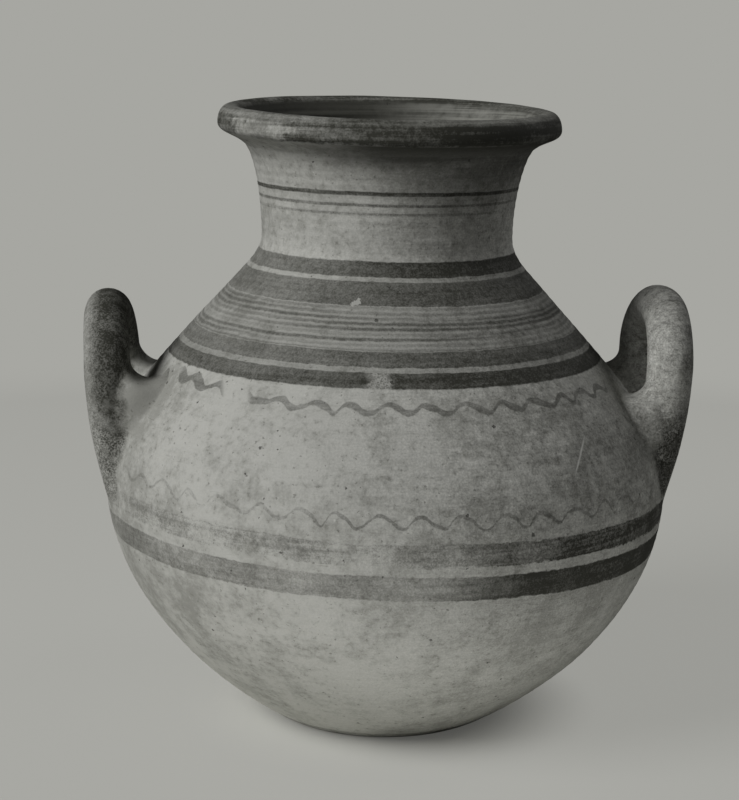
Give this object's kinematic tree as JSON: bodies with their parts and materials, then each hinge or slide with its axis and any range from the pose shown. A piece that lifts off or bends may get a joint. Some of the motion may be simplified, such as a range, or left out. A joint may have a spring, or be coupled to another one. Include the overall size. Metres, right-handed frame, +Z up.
{
  "type": "two-handled jar",
  "caption": "Round-bellied clay storage jar on a small flat base, with a flared neck, a thick rolled lip and upright loop handles on the shoulder, for keeping and pouring.",
  "frame": {"origin": "centre of the resting face, on the jar's axis", "axes": "+Z up along the jar's axis, +X towards the right handle, and the pictured front faces -Y"},
  "size_m": [0.3664, 0.3446, 0.3735],
  "materials": {
    "base_clay": "matt unglazed fired clay",
    "belly_slip": "matt pale slip with worn painted belts",
    "shoulder_slip": "matt pale slip with painted bands, fine lines and waves",
    "neck_slip": "matt pale slip with thin painted lines",
    "lip_paint": "matt dark paint worn through at the edges",
    "handle_paint": "matt dark paint worn to the pale slip",
    "lute_clay": "matt slip over pressed clay"
  },
  "bodies": {
    "root": {"base_disc": "base_clay", "lower_body": "belly_slip", "upper_body": "shoulder_slip", "neck": "neck_slip", "lip": "lip_paint", "handle_left": "handle_paint", "handle_right": "handle_paint", "lute_left_front": "lute_clay", "lute_left_back": "lute_clay", "lute_right_front": "lute_clay", "lute_right_back": "lute_clay"}
  },
  "joints": []
}
